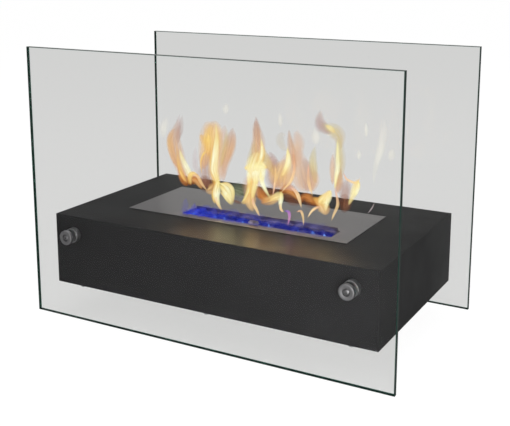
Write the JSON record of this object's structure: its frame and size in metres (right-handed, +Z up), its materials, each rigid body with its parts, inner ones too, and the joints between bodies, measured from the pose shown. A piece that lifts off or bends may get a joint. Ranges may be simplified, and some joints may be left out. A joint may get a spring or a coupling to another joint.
{
  "type": "tabletop bioethanol fireplace",
  "caption": "Table-top bioethanol fireplace: black steel case held between two glass panes that are its legs, with a lift-out burner and a sliding damper.",
  "frame": {"origin": "on the table, under the middle of the case", "axes": "+X to the right as seen from the front, +Y to the rear, +Z up"},
  "size_m": [0.5, 0.2928, 0.35],
  "materials": {
    "black_coat": "satin black powder coat",
    "black_steel": "matt black powder coat",
    "glass": "clear toughened glass with ground green edges",
    "satin_steel": "satin stainless steel",
    "burner_steel": "brushed stainless steel, dulled by heat",
    "zinc_steel": "zinc-plated steel",
    "gasket": "dark soft plastic",
    "wool": "white ceramic fibre"
  },
  "bodies": {
    "root": {"case_wrap": "black_coat", "case_left_end": "black_coat", "case_right_end": "black_coat", "bottom_cover": "black_steel", "front_cover_screw_1": "zinc_steel", "front_cover_screw_2": "zinc_steel", "front_cover_screw_3": "zinc_steel", "rear_cover_screw_1": "zinc_steel", "rear_cover_screw_2": "zinc_steel", "rear_cover_screw_3": "zinc_steel", "front_glass": "glass", "rear_glass": "glass", "front_left_barrel": "satin_steel", "front_left_inner_gasket": "gasket", "front_left_bushing": "gasket", "front_left_outer_gasket": "gasket", "front_left_cap": "satin_steel", "front_left_bolt": "satin_steel", "front_left_washer": "zinc_steel", "front_left_nut": "zinc_steel", "front_right_barrel": "satin_steel", "front_right_inner_gasket": "gasket", "front_right_bushing": "gasket", "front_right_outer_gasket": "gasket", "front_right_cap": "satin_steel", "front_right_bolt": "satin_steel", "front_right_washer": "zinc_steel", "front_right_nut": "zinc_steel", "rear_left_barrel": "satin_steel", "rear_left_inner_gasket": "gasket", "rear_left_bushing": "gasket", "rear_left_outer_gasket": "gasket", "rear_left_cap": "satin_steel", "rear_left_bolt": "satin_steel", "rear_left_washer": "zinc_steel", "rear_left_nut": "zinc_steel", "rear_right_barrel": "satin_steel", "rear_right_inner_gasket": "gasket", "rear_right_bushing": "gasket", "rear_right_outer_gasket": "gasket", "rear_right_cap": "satin_steel", "rear_right_bolt": "satin_steel", "rear_right_washer": "zinc_steel", "rear_right_nut": "zinc_steel"},
    "burner": {"burner_plate": "burner_steel", "burner_tank": "satin_steel", "ceramic_wool": "wool", "wool_screen": "satin_steel", "damper_left_rail": "satin_steel", "damper_right_rail": "satin_steel"},
    "damper": {"damper": "burner_steel"}
  },
  "joints": [
    {"name": "burner_lift", "type": "slide", "parent": "root", "child": "burner", "axis": [0, 0, 1], "range_m": [0, 0.065]},
    {"name": "damper_slide", "type": "slide", "parent": "burner", "child": "damper", "axis": [0, -1, 0], "range_m": [0, 0.0256]}
  ]
}
